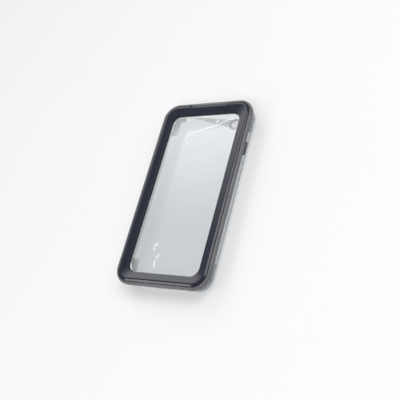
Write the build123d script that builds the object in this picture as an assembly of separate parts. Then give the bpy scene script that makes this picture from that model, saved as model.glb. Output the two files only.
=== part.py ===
from build123d import *
import os

# Waterproof case for a 4.7 inch phone, lying on its back: a black front frame with a clear film,
# a clear back shell, and sealed buttons, door and plug. Millimetres, Z up, X to the right and Y to
# the top end. The origin is the middle of the back face.

# Phone that the case holds
PHONE_W = 67.1
PHONE_L = 138.3
PHONE_T = 7.1
PHONE_CORNER_R = 10.0

# Room round the phone
SIDE_GAP = 1.45
END_GAP = 0.85
GLASS_GAP = 0.35

# Section of the closure, from the outside in
BUMPER_T = 1.5
SKIRT_T = 1.0
CLOSE_FIT = 0.2
TONGUE_T = 1.3
INNER_SKIRT_T = 1.0
LIP_CLEAR = 0.3
CORNER_R = 12.0

# Section of the front face
BEZEL_W = 8.8
TOP_BEZEL_W = 10.0
WINDOW_R = 7.0
WINDOW_DRAFT = 0.8
CREST_INSET = 3.2
CREST_LAND = 0.9
CREST_R = 0.35
WINDOW_LIP_R = 0.3
LIP_T = 1.4
CREST_RISE = 1.1
SHOULDER_DROP = 0.6
SHOULDER_R = 0.15
GROOVE_W = 0.3
GROOVE_DEPTH = 0.7

# Heights of the closure
BACK_T = 1.6
PAD_T = 0.8
FILM_T = 0.3
ADHESIVE_T = 0.15
PART_DROP = 0.7
ROOF_T = 1.6
SEAL_T = 0.8
SKIRT_RISE = 0.3
BUMPER_OVERLAP = 0.3
BUMPER_TOP_DROP = 0.8
BUMPER_TOP_R = 1.1
BUMPER_INNER_R = 0.15
BUMPER_LOW_R = 0.4
BACK_EDGE_R = 2.0
CAVITY_EDGE_R = 0.8

# Film and its adhesive
FILM_PLAY = 0.4
ADHESIVE_W = 3.2

# Main seal
SEAL_SIDE_PLAY = 0.1
SEAL_BASE_T = 0.45
BEAD_INSET = 0.35
BEAD_R = 0.25

# Snap beads of the closure
SNAP_H = 0.5
SNAP_RISE = 0.25
SNAP_PROUD = 0.12
SNAP_GROOVE = 0.15
SNAP_PLAY = 0.12
SNAP_SIDE_L = 14.0
SNAP_END_L = 12.0
SNAP_SIDE_START = 10.0
SNAP_END_START = 3.0

# Finger notch in the top edge: a flat floor, a ramp, and a bevel where the ramp meets the front
NOTCH_W = 32.6
NOTCH_DEPTH = 0.5
NOTCH_FLOOR = 2.2
NOTCH_RAMP = 1.9
NOTCH_RAMP_RISE = 1.05
NOTCH_BEVEL = 1.45
NOTCH_BEVEL_RISE = 0.55
NOTCH_END_SLOPE = 0.6

# Corner cushions
CUSHION_PLAY = 0.05
PHONE_PLAY = 0.2
CUSHION_SIDE_ARM = 18.0
CUSHION_PORT_GAP = 1.9
CUSHION_LEDGE = 6.0
CUSHION_TOP_DROP = 1.2

# The phone's own buttons and camera, from its top end, and the camera from its side
POWER_DROP = 33.15
VOLUME_UP_DROP = 36.15
VOLUME_DOWN_DROP = 50.15
MUTE_DROP = 22.15
LENS_DROP = 9.5
LENS_SIDE = 13.0

# Push buttons
CAP_L = 11.0
CAP_H = 3.0
CAP_T = 1.4
CAP_PROUD = 0.85
CAP_EDGE_R = 0.4
BUTTON_TRAVEL = 0.55
STOP_GAP = 0.1
POCKET_GAP = 0.2
STEM_R = 1.2
RUN_FIT = 0.05
BOSS_H = 0.5
BOSS_WALL = 0.9
RING_SECTION = 0.44
RING_DEPTH = 0.5
RING_PLAY = 0.02
RING_SIDE_PLAY = 0.1
CLIP_R = 2.0
CLIP_T = 0.3
CLIP_GAP = 0.03
CLIP_SHAFT_R = 0.85
CLIP_FIT = 0.01
CLIP_MOUTH = 1.2
STEM_TAIL = 0.17
MARK_L = 1.6
MARK_W = 0.4
MARK_DEPTH = 0.15

# Mute knob
KNOB_R = 2.1
KNOB_DROP = 0.3
KNOB_BAR_W = 1.0
KNOB_BAR_H = 0.55
KNOB_REST_DEG = 35.0
FORK_R = 1.9
FORK_PRONG_R = 1.3
FORK_PRONG_D = 0.6
FORK_PRONG_L = 0.45

# Charging port and its door
PORT_W = 12.5
PORT_H = 4.0
PORT_CORNER_R = 1.8
DOOR_W = 17.0
DOOR_H = 4.8
DOOR_T = 1.2
DOOR_PROUD = 0.3
DOOR_GAP = 0.2
DOOR_SEAT_GAP = 0.1
DOOR_CORNER_R = 1.2
DOOR_NICK_W = 3.0
DOOR_NICK_DEPTH = 0.5
HINGE_DROP = 3.25
HINGE_DEPTH = 2.45
BARREL_R = 0.7
BARREL_CLEAR = 0.1
BARREL_L = 9.2
LUG_L = 2.4
PIN_R = 0.35
PIN_SLOT_W = 0.55
PLUG_DEPTH = 1.0
PLUG_PLAY = 0.15
PLUG_TAPER = 0.3

# Headphone plug
JACK_X = -20.5
JACK_R = 2.0
JACK_HEAD_R = 2.4
JACK_HEAD_T = 1.3
JACK_HEAD_PROUD = 0.6
JACK_TAIL = 0.2
JACK_RING_SECTION = 0.5
JACK_RING_DEPTH = 0.7
JACK_NICK_W = 1.6
JACK_NICK_DEPTH = 0.4

# Speaker and microphone vents
SPEAKER_X = 16.0
SPEAKER_HOLES = 5
SPEAKER_PITCH = 2.0
SPEAKER_HOLE_R = 0.6
MEMBRANE_T = 0.2
MEMBRANE_MARGIN = 0.9
VENT_FRAME_T = 0.4
VENT_FRAME_W = 0.8
VENT_FIT = 0.05
MIC_X = -13.0
MIC_HOLE_R = 0.5

# Rear camera window
LENS_HOLE_R = 3.2
LENS_GLASS_R = 3.8
LENS_GLASS_T = 0.55
LENS_RING_W = 0.8
LENS_RING_T = 0.85
LENS_POCKET = 0.9
LENS_FIT = 0.05
LENS_ADHESIVE_T = 0.1
LENS_RING_EDGE = 0.25

# Insets from the outline of the case, from the outside in
SHELL_INSET = BUMPER_T + LIP_CLEAR
SKIRT_INSET = BUMPER_T + SKIRT_T
TONGUE_INSET = SKIRT_INSET + CLOSE_FIT
CAVITY_INSET = TONGUE_INSET + TONGUE_T
CHANNEL_INSET = CAVITY_INSET + CLOSE_FIT
POCKET_INSET = CHANNEL_INSET + INNER_SKIRT_T
FILM_INSET = POCKET_INSET + FILM_PLAY

# Overall size
CASE_W = PHONE_W + 2 * (SIDE_GAP + CAVITY_INSET)
CASE_L = PHONE_L + 2 * (END_GAP + CAVITY_INSET)
CAVITY_X = CASE_W / 2 - CAVITY_INSET
CAVITY_Y = CASE_L / 2 - CAVITY_INSET

# Places along the case
POWER_Y = PHONE_L / 2 - POWER_DROP
VOLUME_UP_Y = PHONE_L / 2 - VOLUME_UP_DROP
VOLUME_DOWN_Y = PHONE_L / 2 - VOLUME_DOWN_DROP
MUTE_Y = PHONE_L / 2 - MUTE_DROP
LENS_X = PHONE_W / 2 - LENS_SIDE
LENS_Y = PHONE_L / 2 - LENS_DROP
SNAP_Y = CASE_L / 2 - CORNER_R - SNAP_SIDE_START - SNAP_SIDE_L / 2
SNAP_X = CASE_W / 2 - CORNER_R - SNAP_END_START - SNAP_END_L / 2

# Heights above the back face
Z_PHONE = BACK_T + PAD_T
Z_GLASS = Z_PHONE + PHONE_T
Z_FILM = Z_GLASS + GLASS_GAP
Z_ADHESIVE = Z_FILM + FILM_T
Z_FLANGE = Z_ADHESIVE + ADHESIVE_T
Z_LIP = Z_FLANGE + LIP_T
Z_TOP = Z_LIP + CREST_RISE
Z_PART = Z_GLASS - PART_DROP
Z_CHANNEL = Z_TOP - ROOF_T
Z_TONGUE = Z_CHANNEL - SEAL_T
Z_SKIRT = Z_GLASS + SKIRT_RISE
Z_SHOULDER = Z_TOP - SHOULDER_DROP
Z_BUMPER = Z_TOP - BUMPER_TOP_DROP
Z_SNAP = Z_PART + SNAP_RISE
Z_PORT = Z_PHONE + PHONE_T / 2

# Depths inward from the outline, for what passes through a wall
CAP_OUT = SHELL_INSET - CAP_PROUD
CAP_IN = CAP_OUT + CAP_T
CAP_FLOOR = CAP_IN + BUTTON_TRAVEL + STOP_GAP
BOSS_FACE = CAVITY_INSET + BOSS_H
CLIP_FACE = BOSS_FACE + CLIP_GAP
STEM_END = CLIP_FACE + CLIP_T + STEM_TAIL
BORE_R = STEM_R + RUN_FIT
RING_R = BORE_R - RING_PLAY - RING_SECTION / 2
RING_GROOVE_R = RING_R - RING_SECTION / 2
DOOR_OUT = SHELL_INSET - DOOR_PROUD
DOOR_IN = DOOR_OUT + DOOR_T
DOOR_FLOOR = DOOR_IN + DOOR_SEAT_GAP
JACK_OUT = SHELL_INSET - JACK_HEAD_PROUD
JACK_IN = JACK_OUT + JACK_HEAD_T
JACK_FLOOR = JACK_IN + STOP_GAP
JACK_RING_R = JACK_R - RING_PLAY - JACK_RING_SECTION / 2

# Where the corner cushions end, beside the ports of the bottom wall
SPEAKER_END = SPEAKER_X + (SPEAKER_HOLES - 1) / 2 * SPEAKER_PITCH + SPEAKER_HOLE_R
VENT_REACH = SPEAKER_END + MEMBRANE_MARGIN + VENT_FIT + VENT_FRAME_W
JACK_REACH = JACK_HEAD_R + POCKET_GAP - JACK_X
CUSHION_END_ARM = CAVITY_X - CUSHION_PORT_GAP - max(VENT_REACH, JACK_REACH)

PUSH_BUTTONS = {
    "power": (1, POWER_Y),
    "volume_up": (-1, VOLUME_UP_Y),
    "volume_down": (-1, VOLUME_DOWN_Y),
}
CORNERS = {
    "top_right": (1, 1),
    "top_left": (-1, 1),
    "bottom_right": (1, -1),
    "bottom_left": (-1, -1),
}


def outline(inset, radius=None):
    """Rounded outline of the case, moved inward by inset."""
    corner = CORNER_R - inset if radius is None else radius
    return RectangleRounded(CASE_W - 2 * inset, CASE_L - 2 * inset, corner)


def prism(shape, low, high):
    return extrude(Pos(0, 0, low) * shape, amount=high - low)


def ring(outer, inner, low, high):
    return prism(outline(outer) - outline(inner), low, high)


def between(shape_low, low, shape_high, high):
    """Solid that runs straight from one outline to another."""
    return loft([Pos(0, 0, low) * shape_low, Pos(0, 0, high) * shape_high])


def through(shape, outer, inner):
    """Solid in a wall's own frame, from one depth below the case outline to another."""
    return extrude(Pos(0, 0, -inner) * shape, amount=inner - outer)


def side_wall(side, y):
    return Plane(origin=(side * CASE_W / 2, y, Z_PORT), x_dir=(0, side, 0), z_dir=(side, 0, 0))


def bottom_wall(x):
    return Plane(origin=(x, -CASE_L / 2, Z_PORT), x_dir=(1, 0, 0), z_dir=(0, -1, 0))


def snap_beads(proud, height, extra_length, inset):
    """Bars round the closure: beads on the skirt, or with more length the grooves on the tongue."""
    bars = []
    for side in (1, -1):
        for step in (-1, 0, 1):
            bar = Box(proud, SNAP_SIDE_L + extra_length, height)
            bars.append(Pos(side * (CASE_W / 2 - inset - proud / 2), step * SNAP_Y, 0) * bar)
        for step in (-1, 1):
            bar = Box(SNAP_END_L + extra_length, proud, height)
            bars.append(Pos(step * SNAP_X, side * (CASE_L / 2 - inset - proud / 2), 0) * bar)
    return [Pos(0, 0, Z_SNAP + SNAP_H / 2) * bar for bar in bars]


def finger_notch():
    """Cutter of the shallow notch where the two halves are pulled apart."""
    width = NOTCH_W - 2 * NOTCH_END_SLOPE
    reach = NOTCH_FLOOR
    height = Z_BUMPER - NOTCH_DEPTH
    levels = [(width, reach, height)]
    for run, rise in ((NOTCH_RAMP, NOTCH_RAMP_RISE), (NOTCH_BEVEL, NOTCH_BEVEL_RISE)):
        reach += run
        height += rise
        levels.append((NOTCH_W, reach, height))
    return loft([Pos(0, CASE_L / 2, z) * Rectangle(w, 2 * y) for w, y, z in levels], ruled=True)


def window(draft=0.0):
    """Outline of the window's lip, or with a draft that of its lower edge."""
    width = CASE_W - 2 * (BEZEL_W + draft)
    length = CASE_L - BEZEL_W - TOP_BEZEL_W - 2 * draft
    return Pos(0, (BEZEL_W - TOP_BEZEL_W) / 2, 0) * RectangleRounded(width, length, WINDOW_R - draft)


def front_frame():
    z_groove = Z_SHOULDER - GROOVE_DEPTH
    top_inset = BUMPER_T + GROOVE_W
    frame = prism(outline(BUMPER_T), Z_PART, z_groove)
    frame += prism(outline(top_inset), z_groove, Z_SHOULDER)
    frame += between(outline(top_inset), Z_SHOULDER, outline(CREST_INSET), Z_TOP)
    frame -= between(window(), Z_LIP, outline(CREST_INSET + CREST_LAND), Z_TOP)
    frame -= between(window(WINDOW_DRAFT), Z_FLANGE, window(), Z_LIP)
    for height, radius in ((Z_TOP, CREST_R), (Z_LIP, WINDOW_LIP_R), (Z_SHOULDER, SHOULDER_R)):
        frame = fillet(frame.edges().filter_by_position(Axis.Z, height, height), radius)
    frame -= prism(outline(SKIRT_INSET), Z_PART, Z_SKIRT)
    frame -= ring(SKIRT_INSET, CHANNEL_INSET, Z_SKIRT, Z_CHANNEL)
    frame -= prism(outline(POCKET_INSET), Z_SKIRT, Z_FLANGE)
    for bead in snap_beads(SNAP_PROUD, SNAP_H, 0, SKIRT_INSET):
        frame += bead
    return frame - finger_notch()


def rim_bumper():
    rim = prism(outline(0), Z_PART - BUMPER_OVERLAP, Z_BUMPER)
    rim = fillet(rim.edges().group_by(Axis.Z)[-1], BUMPER_TOP_R)
    rim = fillet(rim.edges().group_by(Axis.Z)[0], BUMPER_LOW_R)
    rim -= prism(outline(BUMPER_T), Z_PART - BUMPER_OVERLAP, Z_BUMPER)
    top_face = rim.faces().sort_by(Axis.Z)[-1]
    rim = fillet(top_face.inner_wires()[0].edges(), BUMPER_INNER_R)
    return rim - finger_notch()


def screen_film():
    return prism(outline(FILM_INSET), Z_FILM, Z_ADHESIVE)


def film_adhesive():
    return ring(FILM_INSET, FILM_INSET + ADHESIVE_W, Z_ADHESIVE, Z_FLANGE)


def main_seal():
    """Flat base in the roof of the channel, with a rounded bead that meets the tongue."""
    outer = SKIRT_INSET + SEAL_SIDE_PLAY
    inner = CHANNEL_INSET - SEAL_SIDE_PLAY
    base = ring(outer, inner, Z_CHANNEL - SEAL_BASE_T, Z_CHANNEL)
    bead = ring(outer + BEAD_INSET, inner - BEAD_INSET, Z_TONGUE, Z_CHANNEL - SEAL_BASE_T)
    bead = fillet(bead.edges().group_by(Axis.Z)[0], BEAD_R)
    return base + bead


def cavity():
    room = prism(outline(CAVITY_INSET), BACK_T, Z_TOP)
    return fillet(room.edges().group_by(Axis.Z)[0], CAVITY_EDGE_R)


def cushion(side, end):
    """Corner cushion: a wall that holds the phone off the shell, and a ledge under it."""
    top = Z_PART - CUSHION_TOP_DROP
    block = prism(outline(CAVITY_INSET + CUSHION_PLAY), BACK_T, top)
    block = fillet(block.edges().group_by(Axis.Z)[0], CAVITY_EDGE_R)
    phone = RectangleRounded(PHONE_W + 2 * PHONE_PLAY, PHONE_L + 2 * PHONE_PLAY, PHONE_CORNER_R)
    block -= prism(phone, Z_PHONE, top)
    open_x = CAVITY_X - CUSHION_LEDGE
    open_y = CAVITY_Y - CUSHION_LEDGE
    block -= prism(Rectangle(2 * open_x, 2 * open_y), BACK_T, Z_PHONE)
    corner = Rectangle(CUSHION_END_ARM, CUSHION_SIDE_ARM)
    corner = Pos(side * (CAVITY_X - CUSHION_END_ARM / 2), end * (CAVITY_Y - CUSHION_SIDE_ARM / 2), 0) * corner
    return block & prism(corner, BACK_T, top)


def cap_shape(gap=0.0):
    return SlotOverall(CAP_L + 2 * gap, CAP_H + 2 * gap)


def stem(start):
    """Stem with a groove for its seal ring and one for what holds it at the inner end."""
    shaft = through(Circle(STEM_R), start, STEM_END)
    ring_at = CAP_FLOOR + RING_DEPTH
    half = RING_SECTION / 2 + RING_SIDE_PLAY
    shaft -= through(Circle(STEM_R) - Circle(RING_GROOVE_R), ring_at - half, ring_at + half)
    neck = Circle(STEM_R) - Circle(CLIP_SHAFT_R)
    return shaft - through(neck, CLIP_FACE - CLIP_FIT, CLIP_FACE + CLIP_T + CLIP_FIT)


def seal_ring():
    return Pos(0, 0, -CAP_FLOOR - RING_DEPTH) * Torus(RING_R, RING_SECTION / 2)


def push_button(mark):
    cap = through(cap_shape(), CAP_OUT, CAP_IN)
    cap = fillet(cap.edges().group_by(Axis.Z)[-1], CAP_EDGE_R)
    if mark in ("plus", "minus"):
        cap -= through(Rectangle(MARK_L, MARK_W), CAP_OUT, CAP_OUT + MARK_DEPTH)
    if mark == "plus":
        cap -= through(Rectangle(MARK_W, MARK_L), CAP_OUT, CAP_OUT + MARK_DEPTH)
    return cap + stem(CAP_IN)


def retaining_clip():
    shape = Circle(CLIP_R) - Circle(CLIP_SHAFT_R + CLIP_FIT)
    shape -= Pos(CLIP_R / 2, 0, 0) * Rectangle(CLIP_R, CLIP_MOUTH)
    return through(shape, CLIP_FACE, CLIP_FACE + CLIP_T)


def mute_knob():
    disc_out = CAP_OUT + KNOB_BAR_H
    disc_in = CAP_FLOOR - STOP_GAP
    knob = through(Circle(KNOB_R), disc_out, disc_in)
    bar = SlotOverall(2 * KNOB_R - KNOB_DROP, KNOB_BAR_W)
    knob += Rot(0, 0, KNOB_REST_DEG) * through(bar, CAP_OUT, disc_out)
    return knob + stem(disc_in)


def mute_fork():
    """Disc on the knob's neck with two prongs that straddle the phone's switch."""
    back = CLIP_FACE + CLIP_T
    fork = through(Circle(FORK_R) - Circle(CLIP_SHAFT_R + CLIP_FIT), CLIP_FACE, back)
    for side in (1, -1):
        prong = through(Circle(FORK_PRONG_D / 2), back, back + FORK_PRONG_L)
        fork += Pos(side * (STEM_R + FORK_PRONG_D / 2 + CLIP_GAP), 0, 0) * prong
    return Rot(0, 0, KNOB_REST_DEG) * fork


def port_outline(gap=0.0):
    return RectangleRounded(PORT_W - 2 * gap, PORT_H - 2 * gap, PORT_CORNER_R - gap)


def hinge_axis_solid(radius, length, x=0.0):
    """Round bar along the door's hinge, in the frame of the bottom wall."""
    return Pos(x, -HINGE_DROP, -HINGE_DEPTH) * Rot(0, 90, 0) * Cylinder(radius, length)


def port_door():
    plate = RectangleRounded(DOOR_W, DOOR_H, DOOR_CORNER_R)
    door = through(plate, DOOR_OUT, DOOR_IN)
    door = fillet(door.edges().group_by(Axis.Z)[-1], DOOR_PROUD)
    web_top = -DOOR_H / 2 + BARREL_R
    web = Rectangle(BARREL_L, web_top + HINGE_DROP)
    web = Pos(0, (web_top - HINGE_DROP) / 2, 0) * web
    door += through(web, HINGE_DEPTH - BARREL_R, DOOR_IN)
    door += hinge_axis_solid(BARREL_R, BARREL_L)
    nick = Pos(0, DOOR_H / 2, 0) * Rectangle(DOOR_NICK_W, 2 * DOOR_NICK_DEPTH)
    door -= through(nick, DOOR_OUT, DOOR_OUT + DOOR_T / 2)
    return door - hinge_axis_solid(PIN_R + CLIP_FIT, BARREL_L)


def port_door_pin():
    return hinge_axis_solid(PIN_R, BARREL_L + 2 * (BARREL_CLEAR + LUG_L))


def port_door_seal():
    root = port_outline(PLUG_PLAY)
    tip = port_outline(PLUG_PLAY + PLUG_TAPER)
    return between(tip, -DOOR_IN - PLUG_DEPTH, root, -DOOR_IN)


def door_recess():
    """Cutter for the door: its plate, its barrel and the port behind it."""
    plate = RectangleRounded(DOOR_W + 2 * DOOR_GAP, DOOR_H + 2 * DOOR_GAP, DOOR_CORNER_R + DOOR_GAP)
    recess = through(plate, 0, DOOR_FLOOR)
    recess += through(port_outline(), 0, CAVITY_INSET + BOSS_H)
    length = BARREL_L + 2 * (BARREL_CLEAR + LUG_L + BARREL_CLEAR)
    barrel = hinge_axis_solid(BARREL_R + BARREL_CLEAR, length)
    radius = BARREL_R + BARREL_CLEAR
    mouth = Pos(0, -HINGE_DROP, 0) * Rectangle(length, 2 * radius)
    rise = Pos(0, (-HINGE_DROP - DOOR_H / 2) / 2, 0) * Rectangle(length, HINGE_DROP - DOOR_H / 2)
    return recess + barrel + through(mouth, 0, HINGE_DEPTH) + through(rise, 0, DOOR_FLOOR)


def hinge_lug(side):
    """Lug with an open slot, into which the door's pin snaps."""
    x = side * (BARREL_L / 2 + BARREL_CLEAR + LUG_L / 2)
    foot = Pos(x, -HINGE_DROP, 0) * Rectangle(LUG_L, 2 * BARREL_R)
    lug = through(foot, HINGE_DEPTH, CAVITY_INSET - BARREL_CLEAR)
    lug += hinge_axis_solid(BARREL_R, LUG_L, x)
    slot = Pos(x, -HINGE_DROP, 0) * Rectangle(LUG_L, PIN_SLOT_W)
    lug -= through(slot, 0, HINGE_DEPTH)
    return lug - hinge_axis_solid(PIN_R + RUN_FIT, LUG_L, x)


def headphone_plug():
    head = through(Circle(JACK_HEAD_R), JACK_OUT, JACK_IN)
    head = fillet(head.edges().group_by(Axis.Z)[-1], CAP_EDGE_R)
    nick = Pos(0, -JACK_HEAD_R, 0) * Rectangle(JACK_NICK_W, 2 * JACK_NICK_DEPTH)
    head -= through(nick, JACK_OUT, JACK_OUT + JACK_HEAD_T / 2)
    shaft_r = JACK_R - RUN_FIT
    shaft = through(Circle(shaft_r), JACK_IN, CAVITY_INSET + JACK_TAIL)
    half = JACK_RING_SECTION / 2 + RING_SIDE_PLAY
    ring_at = JACK_FLOOR + JACK_RING_DEPTH
    groove = Circle(shaft_r) - Circle(JACK_RING_R - JACK_RING_SECTION / 2)
    return head + (shaft - through(groove, ring_at - half, ring_at + half))


def headphone_seal():
    return Pos(0, 0, -JACK_FLOOR - JACK_RING_DEPTH) * Torus(JACK_RING_R, JACK_RING_SECTION / 2)


def speaker_shape(margin):
    """Outline round the row of speaker holes."""
    length = (SPEAKER_HOLES - 1) * SPEAKER_PITCH + 2 * (SPEAKER_HOLE_R + margin)
    return SlotOverall(length, 2 * (SPEAKER_HOLE_R + margin))


def mic_shape(margin):
    return Circle(MIC_HOLE_R + margin)


def membrane(shape):
    return through(shape(MEMBRANE_MARGIN), CAVITY_INSET, CAVITY_INSET + MEMBRANE_T)


def vent_frame(shape):
    inner = MEMBRANE_MARGIN + VENT_FIT
    frame = shape(inner + VENT_FRAME_W) - shape(inner)
    return through(frame, CAVITY_INSET, CAVITY_INSET + VENT_FRAME_T)


def lens_pocket():
    pocket = prism(Circle(LENS_GLASS_R + LENS_FIT + LENS_RING_W + LENS_FIT), 0, LENS_POCKET)
    return Pos(LENS_X, LENS_Y, 0) * (pocket + prism(Circle(LENS_HOLE_R), 0, Z_PHONE))


def lens_window():
    top = LENS_POCKET - LENS_ADHESIVE_T
    return Pos(LENS_X, LENS_Y, 0) * prism(Circle(LENS_GLASS_R), top - LENS_GLASS_T, top)


def lens_adhesive():
    shape = Circle(LENS_GLASS_R) - Circle(LENS_HOLE_R)
    return Pos(LENS_X, LENS_Y, 0) * prism(shape, LENS_POCKET - LENS_ADHESIVE_T, LENS_POCKET)


def lens_ring():
    inner = LENS_GLASS_R + LENS_FIT
    body = prism(Circle(inner + LENS_RING_W), LENS_POCKET - LENS_RING_T, LENS_POCKET)
    body -= prism(Circle(inner), LENS_POCKET - LENS_RING_T, LENS_POCKET)
    return Pos(LENS_X, LENS_Y, 0) * chamfer(body.edges().group_by(Axis.Z)[0], LENS_RING_EDGE)


def back_shell():
    shell = prism(outline(SHELL_INSET), 0, Z_PART)
    shell = fillet(shell.edges().group_by(Axis.Z)[0], BACK_EDGE_R)
    shell += prism(outline(TONGUE_INSET), Z_PART, Z_TONGUE)
    shell -= cavity()
    for groove in snap_beads(SNAP_GROOVE, SNAP_H + 2 * SNAP_PLAY, 2 * SNAP_PLAY, TONGUE_INSET):
        shell -= groove
    for side, y in PUSH_BUTTONS.values():
        shell = sealed_bore(shell, side_wall(side, y), cap_shape(POCKET_GAP))
    shell = sealed_bore(shell, side_wall(-1, MUTE_Y), Circle(KNOB_R + POCKET_GAP))
    shell -= bottom_wall(0) * door_recess()
    for side in (1, -1):
        shell += bottom_wall(0) * hinge_lug(side)
    jack = through(Circle(JACK_HEAD_R + POCKET_GAP), 0, JACK_FLOOR)
    shell -= bottom_wall(JACK_X) * (jack + through(Circle(JACK_R), 0, BOSS_FACE))
    shell -= bottom_wall(MIC_X) * through(Circle(MIC_HOLE_R), 0, BOSS_FACE)
    for k in range(SPEAKER_HOLES):
        x = SPEAKER_X + (k - (SPEAKER_HOLES - 1) / 2) * SPEAKER_PITCH
        shell -= bottom_wall(x) * through(Circle(SPEAKER_HOLE_R), 0, BOSS_FACE)
    return shell - lens_pocket()


def sealed_bore(shell, wall, pocket):
    """Boss inside the wall, pocket outside it, and the bore through both."""
    shell += wall * through(Circle(BORE_R + BOSS_WALL), CAP_FLOOR, BOSS_FACE)
    shell -= wall * through(pocket, 0, CAP_FLOOR)
    return shell - wall * through(Circle(BORE_R), 0, BOSS_FACE)


def all_parts():
    parts = {
        "front_frame": front_frame(),
        "rim_bumper": rim_bumper(),
        "screen_film": screen_film(),
        "film_adhesive": film_adhesive(),
        "main_seal": main_seal(),
        "back_shell": back_shell(),
        "lens_window": lens_window(),
        "lens_adhesive": lens_adhesive(),
        "lens_ring": lens_ring(),
    }
    for name, (side, end) in CORNERS.items():
        parts["cushion_" + name] = cushion(side, end)
    marks = {"volume_up": "plus", "volume_down": "minus"}
    for name, (side, y) in PUSH_BUTTONS.items():
        wall = side_wall(side, y)
        parts[name + "_button"] = wall * push_button(marks.get(name))
        parts[name + "_seal"] = wall * seal_ring()
        parts[name + "_clip"] = wall * retaining_clip()
    wall = side_wall(-1, MUTE_Y)
    parts["mute_knob"] = wall * mute_knob()
    parts["mute_seal"] = wall * seal_ring()
    parts["mute_fork"] = wall * mute_fork()
    wall = bottom_wall(0)
    parts["port_door"] = wall * port_door()
    parts["port_door_pin"] = wall * port_door_pin()
    parts["port_door_seal"] = wall * port_door_seal()
    wall = bottom_wall(JACK_X)
    parts["headphone_plug"] = wall * headphone_plug()
    parts["headphone_seal"] = wall * headphone_seal()
    parts["speaker_membrane"] = bottom_wall(SPEAKER_X) * membrane(speaker_shape)
    parts["speaker_frame"] = bottom_wall(SPEAKER_X) * vent_frame(speaker_shape)
    parts["mic_membrane"] = bottom_wall(MIC_X) * membrane(mic_shape)
    parts["mic_frame"] = bottom_wall(MIC_X) * vent_frame(mic_shape)
    return parts


os.makedirs("parts", exist_ok=True)
for part_name, solid in all_parts().items():
    export_step(solid, "parts/" + part_name + ".step")
    print(part_name, round(solid.volume, 2))
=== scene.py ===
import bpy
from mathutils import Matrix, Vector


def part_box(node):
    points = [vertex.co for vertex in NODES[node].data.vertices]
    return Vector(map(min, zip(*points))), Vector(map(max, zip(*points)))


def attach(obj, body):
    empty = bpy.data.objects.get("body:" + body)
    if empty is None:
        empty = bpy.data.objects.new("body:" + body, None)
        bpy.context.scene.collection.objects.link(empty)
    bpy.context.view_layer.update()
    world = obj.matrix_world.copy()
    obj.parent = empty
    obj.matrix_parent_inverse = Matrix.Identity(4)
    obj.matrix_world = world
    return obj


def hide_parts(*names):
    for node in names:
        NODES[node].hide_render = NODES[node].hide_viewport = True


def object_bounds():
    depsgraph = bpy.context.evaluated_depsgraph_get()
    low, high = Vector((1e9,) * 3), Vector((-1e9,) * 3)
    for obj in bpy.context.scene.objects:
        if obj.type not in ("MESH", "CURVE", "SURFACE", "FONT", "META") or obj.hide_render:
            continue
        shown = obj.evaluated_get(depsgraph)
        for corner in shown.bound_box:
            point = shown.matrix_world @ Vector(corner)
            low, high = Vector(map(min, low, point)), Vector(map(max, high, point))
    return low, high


bl_info = {
    "name": "Waterproof phone case",
    "version": (1, 0, 0),
    "blender": (4, 5, 0),
    "location": "View3D > Sidebar > Phone case",
    "description": "Finishes, film and stage for a waterproof phone case with a clear back",
    "category": "Object",
}

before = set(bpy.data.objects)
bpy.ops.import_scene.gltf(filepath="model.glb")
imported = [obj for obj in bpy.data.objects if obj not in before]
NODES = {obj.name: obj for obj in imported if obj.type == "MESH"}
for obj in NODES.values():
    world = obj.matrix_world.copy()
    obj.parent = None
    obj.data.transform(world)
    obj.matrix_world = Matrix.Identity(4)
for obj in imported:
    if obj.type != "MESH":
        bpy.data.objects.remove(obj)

import math

import bpy
import numpy as np
from mathutils import Euler, Vector

CAD_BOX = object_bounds()
MM = 0.001

# Camera of the photograph: where it stands, and its turn about X, Y and Z
CAMERA_PLACE = (274.64 * MM, -181.43 * MM, 369.07 * MM)
CAMERA_TURN_DEG = (30.371, 29.091, 16.556)
SENSOR_MM = 36.0
CLIP_START = 10 * MM

# Lamps: centre, aim, width and length in metres
LAMPS = {
    "key": ((0.365, -0.750, 0.918), (0.034, -0.070, 0.012), 0.50, 0.40),
    "fill": ((-0.700, -0.520, 0.850), (0.0, -0.070, 0.012), 0.26, 0.26),
    "crest": ((0.380, 0.480, 1.150), (0.035, 0.0, 0.012), 0.44, 0.80),
    "side": ((0.875, 0.440, 0.720), (0.035, 0.0, 0.012), 0.50, 0.30),
}
FLOOR_SIZE = 4.0
# Darkest part of the floor's slow drift of colour, as a share of its colour
FLOOR_DRIFT = 0.985

# Rise of a direction, 0 level and 1 straight up: where the soft light from above is full, and
# where the pale horizon starts to fade and has gone
SKY_FULL = 0.6
HORIZON_FADE = (0.03, 0.16)

# Bright part of the room: its direction, and how far from it the light is full and where it ends
GLOW_TOWARDS = (-0.56, 0.65, 0.50)
GLOW_FULL_DEG = 8.0
GLOW_END_DEG = 25.0

# Lower edge of the window: half its width, its ends and its corners, and the case's own corners
WINDOW_HALF_X = 29.4 * MM
WINDOW_Y = (-64.4 * MM, 63.2 * MM)
WINDOW_R = 6.2 * MM
CORNER_R = 12.0 * MM

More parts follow.
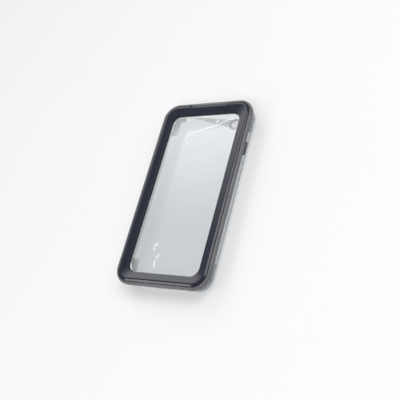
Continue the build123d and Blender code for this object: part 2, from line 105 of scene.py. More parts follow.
# Folds of the film: points in millimetres, height and half width in shares of the settings, and
# the strength of the highlight painted white on the fold. The last one is a painted glint in the
# window's lower left corner.
FOLDS = (
    (((-13.2, 41.6), (-11.9, 44.9), (-9.1, 48.2), (-2.0, 49.9), (4.1, 52.3), (11.6, 54.2),
      (19.1, 57.8), (27.1, 59.1)), 1.0, 0.8, 0.85),
    (((10.1, 56.3), (10.9, 57.6), (11.7, 59.2)), 0.6, 0.8, 1.0),
    (((-5.3, 62.7), (-4.7, 62.0), (-4.1, 61.2)), 0.4, 0.7, 0.7),
    (((-13.6, -44.6), (-12.2, -43.6), (-10.7, -42.0)), 0.8, 0.8, 1.0),
    (((-13.1, -47.6), (-12.4, -46.8), (-11.4, -46.7)), 0.8, 0.8, 0.9),
    (((-8.8, -52.7), (-7.6, -51.8), (-6.6, -50.3)), 0.8, 0.8, 1.0),
    (((-8.8, -54.2), (-8.7, -57.5), (-7.9, -60.9)), 0.6, 0.8, 0.8),
    (((-28.9, -58.7), (-28.1, -61.0), (-26.5, -62.9)), 0.3, 0.8, 1.0),
)
# Share of a fold's length over which its ends stop fading
FOLD_END = 0.04
# What a painted highlight at full strength does to the clear film: less clear and rougher, so it
# shows white
HIGHLIGHT_TRANSMISSION = 0.2
HIGHLIGHT_ROUGHNESS = 0.4

# Slow waves of the film: a wave along x that sways with y and comes and goes along y, and a
# weaker one that runs aslant. Lengths divide x and y, and phases are in radians.
WAVE_X = 9.5 * MM
WAVE_SWAY = 1.3
WAVE_SWAY_Y = 21 * MM
WAVE_Y = 14 * MM
WAVE_PHASE = 0.6
ASLANT_SHARE = 0.6
ASLANT = 0.8
ASLANT_WAVE = 7.3 * MM
ASLANT_PHASE = 2.0

# Ripples that fan out from the window's corners: share of the wave height, reach, and how many
# there would be in a full turn round a corner
RIPPLE_SHARE = 0.8
RIPPLE_REACH = 9 * MM
RIPPLES = 7

# Painted highlight along the window's upper edge, a pale line: its strength, distance from the
# edge and half width. It fades in over a height above a line that slants across the film.
EDGE_PAINTED_HIGHLIGHT = 0.5
EDGE_INSET = 0.3 * MM
EDGE_HALF_WIDTH = 0.45 * MM
EDGE_SLANT = 0.4
EDGE_START = 15 * MM
EDGE_FADE = 30 * MM

# The film is flat at the window's edge and free from this far inside it
FLAT_BAND = 2.5 * MM
# Rows in each corner of the film's mesh, and the angle from which its edges are sharp
CORNER_ROWS = 14
SHARP_DEG = 50

# Lamp light that passes a clear and a hazy piece, as shares of red, green and blue
CLEAR_SHADE = (0.985, 0.985, 0.985)
HAZY_SHADE = (0.93, 0.94, 0.945)

# Range that most of a noise texture's values fill
NOISE_LOW = 0.3
NOISE_HIGH = 0.7
# Sockets of the colour mix node: factor, the two colours, and the result
MIX_FACTOR, MIX_DARK, MIX_LIGHT, MIX_RESULT = 0, 6, 7, 2
# Width of a thread in the vents' cloth, which is half a wave, and the wave texture's own factor
THREAD_W = 0.25 * MM
WAVE_TEXTURE_FACTOR = 20


def scaled(colour, share):
    """The colour made darker, or lighter with a share above 1."""
    return tuple(share * c for c in colour)


class Nodes:
    """A node tree of a material or a world while its nodes are laid."""

    def __init__(self, tree):
        self.tree = tree

    def add(self, kind, **settings):
        node = self.tree.nodes.new(kind)
        for key, value in settings.items():
            setattr(node, key, value)
        return node

    def link(self, output, node_input):
        self.tree.links.new(output, node_input)

    def spread(self, factor, low, high, start=NOISE_LOW, end=NOISE_HIGH, smooth=False):
        """The factor's range from start to end, laid on the range from low to high."""
        node = self.add("ShaderNodeMapRange")
        node.interpolation_type = "SMOOTHSTEP" if smooth else "LINEAR"
        limits = {"From Min": start, "From Max": end, "To Min": low, "To Max": high}
        for socket, value in limits.items():
            node.inputs[socket].default_value = value
        self.link(factor, node.inputs["Value"])
        return node.outputs["Result"]

    def combine(self, operation, first, second):
        """Two values or sockets put together by a step of arithmetic."""
        node = self.add("ShaderNodeMath", operation=operation)
        for socket, value in zip(node.inputs, (first, second)):
            if isinstance(value, (int, float)):
                socket.default_value = value
            else:
                self.link(value, socket)
        return node.outputs["Value"]

    def ray_is(self, *kinds):
        """1 for rays of any of these kinds, and 0 for the others."""
        path = self.add("ShaderNodeLightPath")
        total = path.outputs["Is %s Ray" % kinds[0]]
        for kind in kinds[1:]:
            total = self.combine("MAXIMUM", total, path.outputs["Is %s Ray" % kind])
        return total


class Look(Nodes):
    """One material while its nodes are laid. Sizes are in metres, in the part's own space."""

    def __init__(self, name, colour, roughness, **values):
        self.material = bpy.data.materials.new(name)
        self.material.use_nodes = True
        super().__init__(self.material.node_tree)
        self.shader = self.tree.nodes["Principled BSDF"]
        self.output = self.tree.nodes["Material Output"]
        self.place = self.add("ShaderNodeTexCoord").outputs["Object"]
        self.shader.inputs["Base Color"].default_value = (*colour, 1)
        self.shader.inputs["Roughness"].default_value = roughness
        for socket, value in values.items():
            self.shader.inputs[socket.replace("_", " ")].default_value = value

    def noise(self, size, detail=2.0, stretch=(1, 1, 1)):
        """Noise from 0 to 1, in grains about size across."""
        squeeze = self.add("ShaderNodeMapping")
        squeeze.inputs["Scale"].default_value = stretch
        self.link(self.place, squeeze.inputs["Vector"])
        node = self.add("ShaderNodeTexNoise")
        node.inputs["Scale"].default_value = 1 / size
        node.inputs["Detail"].default_value = detail
        self.link(squeeze.outputs["Vector"], node.inputs["Vector"])
        return node.outputs["Fac"]

    def colours(self, factor, dark, light):
        """Base colour that drifts from dark to light with the factor."""
        node = self.add("ShaderNodeMix", data_type="RGBA")
        self.link(factor, node.inputs[MIX_FACTOR])
        node.inputs[MIX_DARK].default_value = (*dark, 1)
        node.inputs[MIX_LIGHT].default_value = (*light, 1)
        self.link(node.outputs[MIX_RESULT], self.shader.inputs["Base Color"])

    def roughen(self, factor, low, high):
        self.link(self.spread(factor, low, high), self.shader.inputs["Roughness"])

    def bump(self, *layers):
        """Bump from layers of (height, depth in metres), the coarse ones first."""
        normal = None
        for height, depth in layers:
            node = self.add("ShaderNodeBump")
            node.inputs["Distance"].default_value = depth
            self.link(height, node.inputs["Height"])
            if normal is not None:
                self.link(normal, node.inputs["Normal"])
            normal = node.outputs["Normal"]
        self.link(normal, self.shader.inputs["Normal"])

    def let_light_through(self, colour):
        """Lamps and soft light pass a clear piece straight, and light what lies behind it."""
        clear = self.add("ShaderNodeBsdfTransparent")
        clear.inputs["Color"].default_value = (*colour, 1)
        mix = self.add("ShaderNodeMixShader")
        straight = self.ray_is("Shadow", "Diffuse")
        sources = (straight, self.shader.outputs["BSDF"], clear.outputs["BSDF"])
        for source, socket in zip(sources, mix.inputs):
            self.link(source, socket)
        self.link(mix.outputs["Shader"], self.output.inputs["Surface"])

    def absorb(self, colour, density):
        """Tint that deepens with the way through the solid."""
        volume = self.add("ShaderNodeVolumeAbsorption")
        volume.inputs["Color"].default_value = (*colour, 1)
        volume.inputs["Density"].default_value = density
        self.link(volume.outputs["Volume"], self.output.inputs["Volume"])


def moulded_black(name, colour, roughness, grain, depth):
    """Moulded black: fine grain, slow drift of gloss, and faint dust in the colour."""
    look = Look(name, colour, roughness, IOR=1.5)
    look.colours(look.spread(look.noise(16 * MM), 0.0, 1.0), colour, scaled(colour, 1.2))
    look.roughen(look.noise(11 * MM), roughness - 0.02, roughness + 0.03)
    look.bump((look.noise(22 * MM, detail=1.0), 0.02 * MM), (look.noise(grain, detail=1.0), depth))
    return look.material


def clear_moulded(name, tint, roughness, density, ior=1.5):
    """Clear moulded plastic: polished, with slow flow marks and a tint in its depth."""
    look = Look(name, (0.985, 0.99, 0.995), roughness, IOR=ior, Transmission_Weight=1.0)
    look.roughen(look.noise(7 * MM, detail=3.0), roughness, 2.5 * roughness + 0.01)
    look.bump((look.noise(18 * MM, detail=1.0), 0.10 * MM),
              (look.noise(0.5 * MM, detail=1.0), 0.0003 * MM))
    look.let_light_through(CLEAR_SHADE)
    look.absorb(tint, density)
    return look.material


def clear_soft(name, colour, roughness, density, clearness=0.9):
    """Clear soft rubber: hazy, with a dry skin, and milkier with less clearness."""
    look = Look(name, colour, roughness, IOR=1.40, Transmission_Weight=clearness)
    look.roughen(look.noise(3 * MM, detail=3.0), roughness - 0.04, roughness + 0.06)
    look.bump((look.noise(0.4 * MM), 0.002 * MM))
    look.let_light_through(HAZY_SHADE)
    look.absorb((0.80, 0.84, 0.86), density)
    return look.material


def dull_rubber(name, colour, roughness):
    """Black rubber or adhesive: dull, with a fine skin and pale dust."""
    look = Look(name, colour, roughness, IOR=1.43)
    dust = look.spread(look.noise(2 * MM, detail=4.0), 0.0, 1.0)
    look.colours(dust, colour, scaled(colour, 2.2))
    look.roughen(look.noise(1.2 * MM, detail=3.0), roughness - 0.08, roughness + 0.08)
    look.bump((look.noise(0.25 * MM), 0.008 * MM))
    return look.material


def metal(name, colour, roughness, stretch, metallic=1.0):
    """Metal with fine lines along the axis with a small stretch; metallic under 1 pales it."""
    look = Look(name, colour, roughness, Metallic=metallic)
    lines = look.noise(0.12 * MM, detail=3.0, stretch=stretch)
    look.colours(look.spread(lines, 0.0, 1.0), scaled(colour, 0.85), colour)
    look.roughen(lines, roughness - 0.06, roughness + 0.10)
    look.bump((lines, 0.002 * MM))
    return look.material


def vent_cloth(name, colour):
    """Fine woven membrane: two crossed sets of threads."""
    look = Look(name, colour, 0.8)
    threads = []
    for direction in ("X", "Z"):
        wave = look.add("ShaderNodeTexWave", bands_direction=direction)
        wave.inputs["Scale"].default_value = 1 / THREAD_W / WAVE_TEXTURE_FACTOR * math.pi
        wave.inputs["Distortion"].default_value = 0.3
        look.link(look.place, wave.inputs["Vector"])
        threads.append(wave.outputs["Fac"])
    weave = look.combine("MULTIPLY", *threads)
    look.colours(weave, scaled(colour, 0.5), colour)
    look.bump((weave, 0.03 * MM))
    return look.material


def coat_nodes(material, *names):
    """Give CAD nodes a finish through their own material slots."""
    for name in names:
        for holder in NODES[name].material_slots:
            holder.material = material


def window_edge(x, y):
    """How far inside the window's lower edge a point lies."""
    middle = (WINDOW_Y[0] + WINDOW_Y[1]) / 2
    half_y = (WINDOW_Y[1] - WINDOW_Y[0]) / 2
    dx = np.abs(x) - (WINDOW_HALF_X - WINDOW_R)
    dy = np.abs(y - middle) - (half_y - WINDOW_R)
    corner = np.hypot(np.maximum(dx, 0), np.maximum(dy, 0)) + np.minimum(np.maximum(dx, dy), 0)
    return WINDOW_R - corner


def curve_through(points, count=40):
    """Points along a smooth curve through points given in millimetres."""
    p = np.array([points[0], *points, points[-1]]) * MM
    spans = []
    for a, b, c, d in zip(p, p[1:], p[2:], p[3:]):
        t = np.linspace(0, 1, count)[:, None]
        spans.append(0.5 * (2 * b + (c - a) * t + (2 * a - 5 * b + 4 * c - d) * t ** 2
                            + (3 * b - a - 3 * c + d) * t ** 3))
    return np.vstack(spans)


def ridge(x, y, curve, width):
    """1 on the curve, falling to 0 within about width of it, and weaker at its ends."""
    nearest = np.full(x.shape, 1.0)
    along = np.zeros(x.shape)
    for k, (px, py) in enumerate(curve):
        distance = np.hypot(x - px, y - py)
        closer = distance < nearest
        nearest = np.where(closer, distance, nearest)
        along = np.where(closer, k / (len(curve) - 1), along)
    fade = np.sin(math.pi * np.clip(along, FOLD_END, 1 - FOLD_END)) ** 0.5
    return np.exp(-(nearest / width) ** 2) * fade


def slow_waves(x, y):
    """Slow waves of the film, between -1.6 and 1.6."""
    sway = WAVE_SWAY * np.sin(y / WAVE_SWAY_Y)
    waves = np.sin(x / WAVE_X + sway) * np.cos(y / WAVE_Y + WAVE_PHASE)
    return waves + ASLANT_SHARE * np.sin((x + ASLANT * y) / ASLANT_WAVE + ASLANT_PHASE)


def corner_ripples(x, y, height):
    """Ripples that fan out from the window's corners, one corner after another."""
    for side in (1, -1):
        for end in WINDOW_Y:
            dx, dy = x - side * WINDOW_HALF_X, y - end
            reach = np.exp(-(np.hypot(dx, dy) / RIPPLE_REACH) ** 2)
            yield height * reach * np.sin(RIPPLES * np.arctan2(dy, dx))


def film_shape(x, y, settings):
    """Height of the film above its flat place, and how white its folds and its upper edge look."""
    rise = settings.wave_height * slow_waves(x, y)
    edge = window_edge(x, y)
    # Painted highlight along the upper edge, faded in towards the top of the film
    upper = np.clip((y + EDGE_SLANT * x - EDGE_START) / EDGE_FADE, 0, 1)
    white = EDGE_PAINTED_HIGHLIGHT * upper * np.exp(-((edge - EDGE_INSET) / EDGE_HALF_WIDTH) ** 2)
    # Each fold adds its height and its painted highlight
    for points, height, width, whiteness in FOLDS:
        fold = ridge(x, y, curve_through(points), width * settings.fold_width)
        rise += height * settings.fold_height * fold
        white = np.maximum(white, whiteness * fold)
    for ripple in corner_ripples(x, y, RIPPLE_SHARE * settings.wave_height):
        rise += ripple
    free = np.clip(edge / FLAT_BAND, 0, 1)
    return rise * free * free * (3 - 2 * free), white


def film_rows(half_x, half_y, radius, pitch):
    """Rows of the sheet: (y, half width), denser where the corners turn."""
    straight = half_y - radius
    rows = [(y, half_x) for y in np.linspace(-straight, straight, int(2 * straight / pitch) + 1)]
    for k in range(1, CORNER_ROWS + 1):
        turn = math.radians(90 * k / CORNER_ROWS)
        wide = half_x - radius + radius * math.cos(turn)
        rise = straight + radius * math.sin(turn)
        rows = [(-rise, wide)] + rows + [(rise, wide)]
    return rows


def sheet_faces(row_count, across):
    """Faces of a closed sheet: its lower layer of rows, its upper layer, and the rim between."""
    faces = []
    count = row_count * across
    for layer, order in ((0, 1), (count, -1)):
        for i in range(row_count - 1):
            for j in range(across - 1):
                k = layer + i * across + j
                faces.append((k, k + across, k + across + 1, k + 1)[::order])
    last = (row_count - 1) * across
    rim = list(range(across)) + [i * across + across - 1 for i in range(1, row_count)]
    rim += list(range(last + across - 2, last - 1, -1))
    rim += [i * across for i in range(row_count - 2, 0, -1)]
    for a, b in zip(rim, rim[1:] + rim[:1]):
        faces.append((a, b, b + count, a + count))
    return faces


def film_mesh(settings):
    """Closed sheet of film, drawn row by row between its two faces."""
    low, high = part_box("screen_film")
    half_x = (high[0] - low[0]) / 2
    half_y = (high[1] - low[1]) / 2
    inset = CAD_BOX[1][0] - half_x
    rows = film_rows(half_x, half_y, CORNER_R - inset, settings.pitch)
    across = int(2 * half_x / settings.pitch) + 1
    share = np.linspace(-1, 1, across)
    x = np.array([wide * share for _, wide in rows])
    y = np.array([np.full(across, place) for place, _ in rows])
    rise, white = film_shape(x, y, settings)
    under = np.stack([x, y, low[2] + rise], -1).reshape(-1, 3)
    over = np.stack([x, y, high[2] + rise], -1).reshape(-1, 3)
    mesh = bpy.data.meshes.new("film_sheet")
    mesh.from_pydata(np.vstack([under, over]).tolist(), [], sheet_faces(len(rows), across))
    # The painted highlight goes to the film's material as a point attribute
    whiteness = mesh.attributes.new("whiteness", "FLOAT", "POINT")
    whiteness.data.foreach_set("value", np.tile(white.ravel(), 2).astype(np.float32))
    mesh.shade_smooth()
    mesh.set_sharp_from_angle(angle=math.radians(SHARP_DEG))
    return mesh


def new_piece(name, mesh, material, body):
    """A piece of the object that rides on a body and takes its finish from a slot."""
    piece = bpy.data.objects.new(name, mesh)
    bpy.context.scene.collection.objects.link(piece)
    piece.data.materials.append(material)
    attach(piece, body)
    return piece


def aim(obj, place, target):
    """Stand obj at place with its own -Z towards target."""
    obj.location = place
    obj.rotation_euler = (Vector(target) - Vector(place)).to_track_quat("-Z", "Y").to_euler()


def add_lamp(name, lamp, power):
    """Soft rectangular lamp, from its centre, aim, width and length."""
    place, target, width, length = lamp
    light = bpy.data.lights.new(name, "AREA")
    light.shape = "RECTANGLE"
    light.size = width
    light.size_y = length
    light.energy = power
    holder = bpy.data.objects.new(name, light)
    bpy.context.scene.collection.objects.link(holder)
    aim(holder, place, target)


class FrameSettings(bpy.types.PropertyGroup):
    """Black front frame and rim."""
    plastic: bpy.props.FloatVectorProperty(
        name="Frame colour", description="Colour of the hard black plastic",
        subtype="COLOR", default=(0.006, 0.008, 0.022), min=0, max=1)
    plastic_roughness: bpy.props.FloatProperty(
        name="Frame roughness", description="How matte the hard black plastic is",
        subtype="FACTOR", default=0.21, min=0.1, max=0.8)
    rubber: bpy.props.FloatVectorProperty(
        name="Rim colour", description="Colour of the soft outer rim",
        subtype="COLOR", default=(0.125, 0.125, 0.133), min=0, max=1)
    rubber_roughness: bpy.props.FloatProperty(
        name="Rim roughness", description="How matte the soft outer rim is",
        subtype="FACTOR", default=0.24, min=0.1, max=0.9)


class FilmSettings(bpy.types.PropertyGroup):
    """Clear touch film in the window."""
    pitch: bpy.props.FloatProperty(
        name="Mesh pitch", description="Distance between the rows of the film's mesh",
        unit="LENGTH", subtype="DISTANCE", default=0.50 * MM, min=0.4 * MM, max=4 * MM,
        precision=5)
    wave_height: bpy.props.FloatProperty(
        name="Wave height", description="Height of the film's slow waves",
        unit="LENGTH", subtype="DISTANCE", default=0.022 * MM, min=0, max=0.08 * MM, precision=6)
    fold_height: bpy.props.FloatProperty(
        name="Fold height", description="Height of the film's folds",
        unit="LENGTH", subtype="DISTANCE", default=0.06 * MM, min=0, max=0.1 * MM, precision=6)
    fold_width: bpy.props.FloatProperty(
        name="Fold width", description="Half the width of a fold",
        unit="LENGTH", subtype="DISTANCE", default=0.60 * MM, min=0.3 * MM, max=5 * MM,
        precision=5)
    roughness: bpy.props.FloatProperty(
        name="Film roughness", description="How matte the film is",
        subtype="FACTOR", default=0.02, min=0, max=0.3)


class ClearSettings(bpy.types.PropertyGroup):
    """Clear back, door, plug and cushions."""
    tint: bpy.props.FloatVectorProperty(
        name="Tint", description="Colour that the clear plastic takes on in its depth",
        subtype="COLOR", default=(0.66, 0.69, 0.71), min=0, max=1)
    density: bpy.props.FloatProperty(
        name="Tint density", description="How fast the tint deepens, per metre",
        default=470.0, min=0, max=1000)
    roughness: bpy.props.FloatProperty(
        name="Roughness", description="How matte the polished plastic is",
        subtype="FACTOR", default=0.03, min=0, max=0.4)
    cushion: bpy.props.FloatVectorProperty(
        name="Cushion colour", description="Colour of the soft corner cushions",
        subtype="COLOR", default=(0.78, 0.81, 0.83), min=0, max=1)


class TrimSettings(bpy.types.PropertyGroup):
    """Buttons, rings, clips and vents."""
    button: bpy.props.FloatVectorProperty(
        name="Button colour", description="Colour of the buttons and the mute knob",
        subtype="COLOR", default=(0.013, 0.013, 0.016), min=0, max=1)
    ring: bpy.props.FloatVectorProperty(
        name="Ring colour", description="Metal of the ring round the camera window",
        subtype="COLOR", default=(0.88, 0.89, 0.91), min=0, max=1)
    steel: bpy.props.FloatVectorProperty(
        name="Steel colour", description="Metal of the clips and the hinge pin",
        subtype="COLOR", default=(0.56, 0.56, 0.57), min=0, max=1)


class StageSettings(bpy.types.PropertyGroup):
    """Floor, lamps and camera."""
    floor: bpy.props.FloatVectorProperty(
        name="Floor colour", description="Colour of the floor under the lamps",
        subtype="COLOR", default=(0.70, 0.70, 0.704), min=0, max=1)
    floor_lift: bpy.props.FloatProperty(
        name="Floor lift", description="Plain white that the floor adds where it is seen",
        subtype="FACTOR", default=0.24, min=0, max=0.5)
    sky: bpy.props.FloatProperty(
        name="Soft light", description="Strength of the even light from above",
        default=0.45, min=0, max=2)
    low_sky: bpy.props.FloatProperty(
        name="Low light", description="Strength of the even light low down in the room",
        default=0.32, min=0, max=2)
    horizon: bpy.props.FloatProperty(
        name="Horizon", description="Strength of the light that the pale horizon adds",
        default=0.60, min=0, max=2)
    glow: bpy.props.FloatProperty(
        name="Glow", description="Strength of the bright part of the room beyond the top end",
        default=2.6, min=0, max=10)
    key: bpy.props.FloatProperty(
        name="Key lamp", description="Power of the soft lamp at the lower right",
        unit="POWER", default=3.0, min=0, max=20)
    side: bpy.props.FloatProperty(
        name="Side lamp", description="Power of the soft lamp that the right rim mirrors",
        unit="POWER", default=1.4, min=0, max=20)
    fill: bpy.props.FloatProperty(
        name="Fill lamp", description="Power of the soft lamp at the lower left",
        unit="POWER", default=1.3, min=0, max=20)
    crest: bpy.props.FloatProperty(
        name="Crest lamp", description="Power of the soft lamp that the frame's crest mirrors",
        unit="POWER", default=4.2, min=0, max=20)
    lens: bpy.props.FloatProperty(
        name="Lens", description="Focal length of the camera",
        unit="CAMERA", default=60.752, min=20, max=200)


class CASE_OT_front_frame(bpy.types.Operator):
    """Finish the black front frame and its soft outer rim"""
    bl_idname = "case.front_frame"
    bl_label = "Front frame and rim"

    def execute(self, context):
        settings = context.scene.case_frame
        hard = moulded_black("frame_black", tuple(settings.plastic), settings.plastic_roughness,
                             grain=0.22 * MM, depth=0.0015 * MM)
        soft = moulded_black("bumper_rubber", tuple(settings.rubber), settings.rubber_roughness,
                             grain=0.30 * MM, depth=0.003 * MM)
        coat_nodes(hard, "front_frame")
        coat_nodes(soft, "rim_bumper")
        return {"FINISHED"}


class CASE_OT_screen_film(bpy.types.Operator):
    """Lay the clear film in the window, with its waves and folds"""
    bl_idname = "case.screen_film"
    bl_label = "Screen film"

    def execute(self, context):
        settings = context.scene.case_film
        look = Look("clear_film", (0.99, 0.995, 1.0), settings.roughness, IOR=1.5)
        # Painted highlight: the film turns less clear and rougher where it is painted, so it shows
        # white
        white = look.add("ShaderNodeAttribute", attribute_name="whiteness").outputs["Fac"]
        clearness = look.spread(white, 1.0, HIGHLIGHT_TRANSMISSION, start=0.0, end=1.0)
        look.link(clearness, look.shader.inputs["Transmission Weight"])
        gloss = look.spread(look.noise(6 * MM, detail=4.0),
                            settings.roughness, settings.roughness + 0.05)
        highlight_haze = look.spread(white, 0.0, HIGHLIGHT_ROUGHNESS, start=0.0, end=1.0)
        look.link(look.combine("ADD", gloss, highlight_haze), look.shader.inputs["Roughness"])
        look.bump((look.noise(1.5 * MM), 0.0006 * MM))
        look.let_light_through(CLEAR_SHADE)
        film = new_piece("film_sheet", film_mesh(settings), look.material, "cover")
        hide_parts("screen_film")
        return {"FINISHED"}


class CASE_OT_closure(bpy.types.Operator):
    """Finish the film's adhesive and the main seal"""
    bl_idname = "case.closure"
    bl_label = "Adhesive and seal"

    def execute(self, context):
        adhesive = dull_rubber("adhesive_black", colour=(0.010, 0.010, 0.011), roughness=0.55)
        seal = dull_rubber("seal_black", colour=(0.016, 0.016, 0.017), roughness=0.60)
        coat_nodes(adhesive, "film_adhesive")
        coat_nodes(seal, "main_seal")
        return {"FINISHED"}


class CASE_OT_back_shell(bpy.types.Operator):
    """Finish the clear back shell and its corner cushions"""
    bl_idname = "case.back_shell"
    bl_label = "Back shell and cushions"

    def execute(self, context):
        settings = context.scene.case_clear
        shell = clear_moulded("clear_shell", tuple(settings.tint), settings.roughness,
                              settings.density)
        coat_nodes(shell, "back_shell")
        soft = clear_soft("cushion_clear", tuple(settings.cushion), roughness=0.30, density=12.0,
                          clearness=0.35)
        for corner in ("top_right", "top_left", "bottom_right", "bottom_left"):
            coat_nodes(soft, "cushion_" + corner)
        return {"FINISHED"}


class CASE_OT_camera_window(bpy.types.Operator):
    """Finish the rear camera window: glass, adhesive and bright ring"""
    bl_idname = "case.camera_window"
    bl_label = "Camera window"

    def execute(self, context):
        settings = context.scene.case_trim
        glass = clear_moulded("lens_glass", tint=(0.90, 0.95, 0.94), roughness=0.01, density=40.0,
                              ior=1.52)
        adhesive = clear_soft("adhesive_clear", colour=(0.95, 0.95, 0.94), roughness=0.25,
                              density=20.0)
        ring = metal("lens_metal", tuple(settings.ring), roughness=0.32, stretch=(1, 1, 0.2),
                     metallic=0.2)
        coat_nodes(glass, "lens_window")
        coat_nodes(adhesive, "lens_adhesive")
        coat_nodes(ring, "lens_ring")
        return {"FINISHED"}


class CASE_OT_buttons(bpy.types.Operator):
    """Finish the push buttons and the mute knob with their rings, clips and fork"""
    bl_idname = "case.buttons"
    bl_label = "Buttons and mute knob"

    def execute(self, context):
        settings = context.scene.case_trim
        cap = moulded_black("button_black", tuple(settings.button), roughness=0.32,
                            grain=0.20 * MM, depth=0.005 * MM)
        rubber = dull_rubber("button_seal_black", colour=(0.016, 0.016, 0.017), roughness=0.58)
        steel = metal("clip_steel", tuple(settings.steel), roughness=0.28, stretch=(0.1, 1, 1))
        fork = dull_rubber("fork_plastic", colour=(0.030, 0.030, 0.033), roughness=0.50)
        for button in ("power", "volume_up", "volume_down"):
            coat_nodes(cap, button + "_button")
            coat_nodes(rubber, button + "_seal")
            coat_nodes(steel, button + "_clip")
        coat_nodes(cap, "mute_knob")
        coat_nodes(rubber, "mute_seal")
        coat_nodes(fork, "mute_fork")
        return {"FINISHED"}


class CASE_OT_port_pieces(bpy.types.Operator):
    """Finish the clear port door and headphone plug with their pin and seals"""
    bl_idname = "case.port_pieces"
    bl_label = "Port door and plug"

    def execute(self, context):
        clear = context.scene.case_clear
        trim = context.scene.case_trim
        door = clear_moulded("clear_door", tuple(clear.tint), clear.roughness + 0.04,
                             1.3 * clear.density)
        seal = clear_soft("seal_clear", colour=(0.94, 0.95, 0.95), roughness=0.40, density=120.0)
        steel = metal("pin_steel", tuple(trim.steel), roughness=0.22, stretch=(0.1, 1, 1))
        coat_nodes(door, "port_door", "headphone_plug")
        coat_nodes(seal, "port_door_seal", "headphone_seal")
        coat_nodes(steel, "port_door_pin")
        return {"FINISHED"}


class CASE_OT_vents(bpy.types.Operator):
    """Finish the speaker and microphone membranes and their frames"""
    bl_idname = "case.vents"
    bl_label = "Vents"

    def execute(self, context):
        cloth = vent_cloth("membrane_grey", colour=(0.10, 0.105, 0.11))
        plastic = clear_soft("vent_plastic", colour=(0.90, 0.92, 0.93), roughness=0.35,
                             density=150.0)
        coat_nodes(cloth, "speaker_membrane", "mic_membrane")
        coat_nodes(plastic, "speaker_frame", "mic_frame")
        return {"FINISHED"}


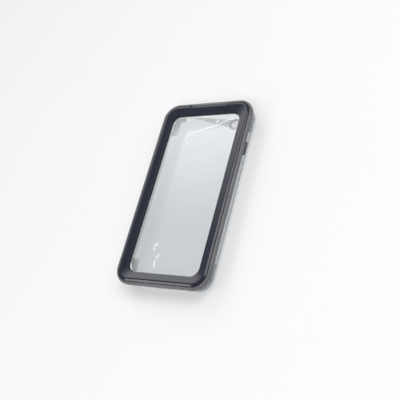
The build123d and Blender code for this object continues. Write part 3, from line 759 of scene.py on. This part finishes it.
class CASE_OT_stage(bpy.types.Operator):
    """Set the pale floor, the soft room, the lamps and the camera of the photograph"""
    bl_idname = "case.stage"
    bl_label = "Stage"

    def execute(self, context):
        settings = context.scene.case_stage
        self.floor(settings)
        self.sky(settings)
        for name, lamp in LAMPS.items():
            add_lamp(name + "_lamp", lamp, getattr(settings, name))
        self.camera(settings)
        context.scene.view_settings.view_transform = "Standard"
        return {"FINISHED"}

    def floor(self, settings):
        colour = tuple(settings.floor)
        look = Look("pale_floor", colour, roughness=0.85, Specular_IOR_Level=0.1)
        look.colours(look.noise(120 * MM), scaled(colour, FLOOR_DRIFT), colour)
        look.bump((look.noise(1.5 * MM, detail=3.0), 0.01 * MM))
        lift = look.add("ShaderNodeEmission")
        seen = look.ray_is("Camera", "Glossy", "Transmission")
        look.link(look.combine("MULTIPLY", seen, settings.floor_lift), lift.inputs["Strength"])
        both = look.add("ShaderNodeAddShader")
        look.link(look.shader.outputs["BSDF"], both.inputs[0])
        look.link(lift.outputs["Emission"], both.inputs[1])
        look.link(both.outputs["Shader"], look.output.inputs["Surface"])
        half = FLOOR_SIZE / 2
        mesh = bpy.data.meshes.new("floor")
        corners = [(-half, -half, 0), (half, -half, 0), (half, half, 0), (-half, half, 0)]
        mesh.from_pydata(corners, [], [(0, 1, 2, 3)])
        ground = bpy.data.objects.new("floor", mesh)
        bpy.context.scene.collection.objects.link(ground)
        mesh.materials.append(look.material)

    def sky(self, settings):
        world = bpy.data.worlds.new("pale_room")
        bpy.context.scene.world = world
        world.use_nodes = True
        nodes = Nodes(world.node_tree)
        background = nodes.tree.nodes["Background"]
        background.inputs["Color"].default_value = (1, 1, 1, 1)
        direction = nodes.add("ShaderNodeTexCoord").outputs["Generated"]
        parts = nodes.add("ShaderNodeSeparateXYZ")
        nodes.link(direction, parts.inputs["Vector"])
        rise = parts.outputs["Z"]
        level = nodes.spread(rise, settings.low_sky, settings.sky, 0.0, SKY_FULL, smooth=True)
        horizon = nodes.spread(rise, settings.horizon, 0.0, *HORIZON_FADE, smooth=True)
        towards = nodes.add("ShaderNodeVectorMath", operation="DOT_PRODUCT")
        nodes.link(direction, towards.inputs[0])
        towards.inputs[1].default_value = Vector(GLOW_TOWARDS).normalized()
        ends = [math.cos(math.radians(angle)) for angle in (GLOW_END_DEG, GLOW_FULL_DEG)]
        glow = nodes.spread(towards.outputs["Value"], 0.0, settings.glow, *ends, smooth=True)
        level = nodes.combine("ADD", level, horizon)
        nodes.link(nodes.combine("ADD", level, glow), background.inputs["Strength"])

    def camera(self, settings):
        data = bpy.data.cameras.new("photo_camera")
        data.sensor_width = SENSOR_MM
        data.lens = settings.lens
        data.clip_start = CLIP_START
        camera = bpy.data.objects.new("photo_camera", data)
        bpy.context.scene.collection.objects.link(camera)
        camera.location = CAMERA_PLACE
        camera.rotation_euler = Euler([math.radians(a) for a in CAMERA_TURN_DEG])
        bpy.context.scene.camera = camera


OPERATORS = (
    CASE_OT_front_frame, CASE_OT_screen_film, CASE_OT_closure, CASE_OT_back_shell,
    CASE_OT_camera_window, CASE_OT_buttons, CASE_OT_port_pieces, CASE_OT_vents, CASE_OT_stage,
)
SETTINGS = {
    "case_frame": FrameSettings,
    "case_film": FilmSettings,
    "case_clear": ClearSettings,
    "case_trim": TrimSettings,
    "case_stage": StageSettings,
}


class CASE_PT_sidebar(bpy.types.Panel):
    """The case's settings and the steps that dress it."""
    bl_idname = "CASE_PT_sidebar"
    bl_label = "Phone case"
    bl_space_type = "VIEW_3D"
    bl_region_type = "UI"
    bl_category = "Phone case"

    def draw(self, context):
        for operator in OPERATORS:
            self.layout.operator(operator.bl_idname)
        for name, group in SETTINGS.items():
            column = self.layout.column(heading=group.__doc__)
            for setting in group.__annotations__:
                column.prop(getattr(context.scene, name), setting)


def register():
    for name, group in SETTINGS.items():
        bpy.utils.register_class(group)
        setattr(bpy.types.Scene, name, bpy.props.PointerProperty(type=group))
    for operator in OPERATORS:
        bpy.utils.register_class(operator)
    bpy.utils.register_class(CASE_PT_sidebar)


def unregister():
    bpy.utils.unregister_class(CASE_PT_sidebar)
    for operator in reversed(OPERATORS):
        bpy.utils.unregister_class(operator)
    for name, group in SETTINGS.items():
        delattr(bpy.types.Scene, name)
        bpy.utils.unregister_class(group)


def main():
    register()
    for operator in OPERATORS:
        group, step = operator.bl_idname.split(".")
        getattr(getattr(bpy.ops, group), step)()
    bpy.context.view_layer.update()


if __name__ == "__main__":
    main()
